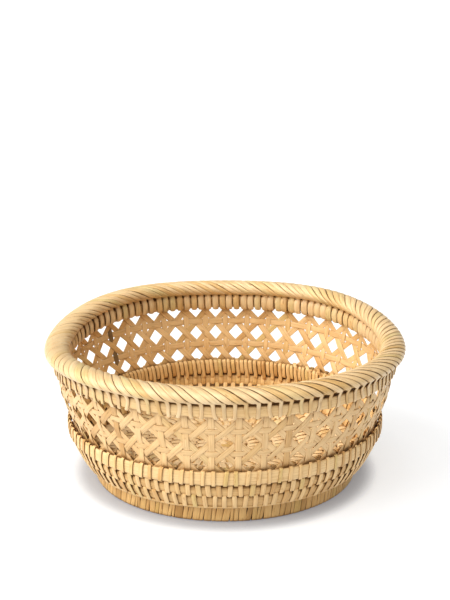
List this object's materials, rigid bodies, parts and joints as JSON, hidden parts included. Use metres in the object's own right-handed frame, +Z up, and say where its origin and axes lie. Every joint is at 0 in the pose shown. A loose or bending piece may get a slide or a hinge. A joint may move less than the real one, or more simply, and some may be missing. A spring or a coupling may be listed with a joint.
{
  "type": "round open-weave basket",
  "caption": "Round rattan basket with a caned open wall between stitched hoop bands, a lashed rim roll, a coiled base and a wrapped foot ring, for holding or draining food.",
  "frame": {"origin": "centre of the foot ring's bottom face, on the surface the basket stands on", "axes": "+Z up along the basket's axis; the wall repeats all round, so +X and +Y are free"},
  "size_m": [0.28, 0.28, 0.1164],
  "materials": {
    "core_cane": "matt, fine lengthwise grain",
    "hoop_cane": "satin, lengthwise grain",
    "cane_strip": "satin peel, lengthwise grain",
    "stitching_peel": "satin peel",
    "binding_strip": "satin peel, slightly polished on the rim"
  },
  "bodies": {
    "root": {"foot_rod_lower": "core_cane", "foot_rod_upper": "core_cane", "foot_wrap": "binding_strip", "base_coil": "core_cane", "base_stitches": "stitching_peel", "wall_coil_lower": "core_cane", "wall_coil_upper": "core_cane", "wall_stitches_lower": "stitching_peel", "wall_stitches_upper": "stitching_peel", "shoulder_hoop_outer": "hoop_cane", "shoulder_hoop_inner": "hoop_cane", "shoulder_stitches": "stitching_peel", "cane_ring_lower": "cane_strip", "cane_ring_middle": "cane_strip", "cane_ring_upper": "cane_strip", "cane_diagonals_right": "cane_strip", "cane_diagonals_left": "cane_strip", "cane_uprights": "cane_strip", "band_hoop_outer": "hoop_cane", "band_hoop_inner": "hoop_cane", "band_stitches": "stitching_peel", "rim_rod_inner": "core_cane", "rim_rod_outer": "core_cane", "rim_wrap": "binding_strip"}
  },
  "joints": []
}
